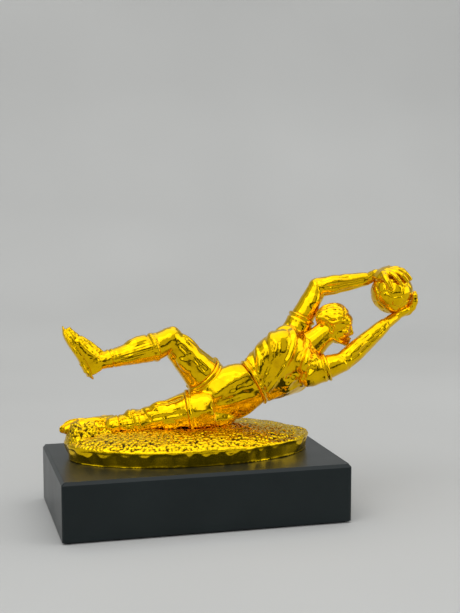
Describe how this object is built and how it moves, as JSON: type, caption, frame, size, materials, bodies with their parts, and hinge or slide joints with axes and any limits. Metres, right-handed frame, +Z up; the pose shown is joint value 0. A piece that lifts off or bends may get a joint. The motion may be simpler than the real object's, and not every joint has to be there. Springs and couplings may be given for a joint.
{
  "type": "figure trophy",
  "caption": "Gold-plated figure of a diving goalkeeper holding a ball, on a granular turf mound screwed to a chamfered black block.",
  "frame": {"origin": "centre of the underside of the foam pad, on the surface that the trophy stands on", "axes": "+Z up; +X along the block's length, towards the ball; the keeper's chest faces -Y"},
  "size_m": [0.1892, 0.082, 0.121],
  "materials": {
    "gold_plate": "mirror-bright gold-coloured plating over smooth casting",
    "gold_turf": "the same plating over a coarse granular casting",
    "black_lacquer": "satin black lacquer",
    "eva_pad": "closed-cell foam sheet, glued on",
    "bright_steel": "zinc-plated steel",
    "insert_brass": "turned brass"
  },
  "bodies": {
    "root": {"base_block": "black_lacquer", "base_pad": "eva_pad", "mounting_screws": "bright_steel", "screw_washers": "bright_steel", "threaded_inserts": "insert_brass", "turf_mound": "gold_turf", "shirt": "gold_plate", "shorts": "gold_plate", "head": "gold_plate", "right_arm": "gold_plate", "left_arm": "gold_plate", "right_hand": "gold_plate", "left_hand": "gold_plate", "ball": "gold_plate", "raised_thigh": "gold_plate", "raised_sock": "gold_plate", "raised_boot": "gold_plate", "trailing_thigh": "gold_plate", "trailing_sock": "gold_plate", "trailing_boot": "gold_plate", "waist_pin": "bright_steel", "neck_pin": "bright_steel", "raised_hip_pin": "bright_steel", "trailing_hip_pin": "bright_steel", "raised_sock_pin": "bright_steel", "raised_ankle_pin": "bright_steel", "trailing_sock_pin": "bright_steel", "trailing_ankle_pin": "bright_steel", "right_sleeve_pin": "bright_steel", "right_wrist_pin": "bright_steel", "right_palm_pin": "bright_steel", "left_sleeve_pin": "bright_steel", "left_wrist_pin": "bright_steel", "left_palm_pin": "bright_steel", "seat_pins": "bright_steel"}
  },
  "joints": []
}
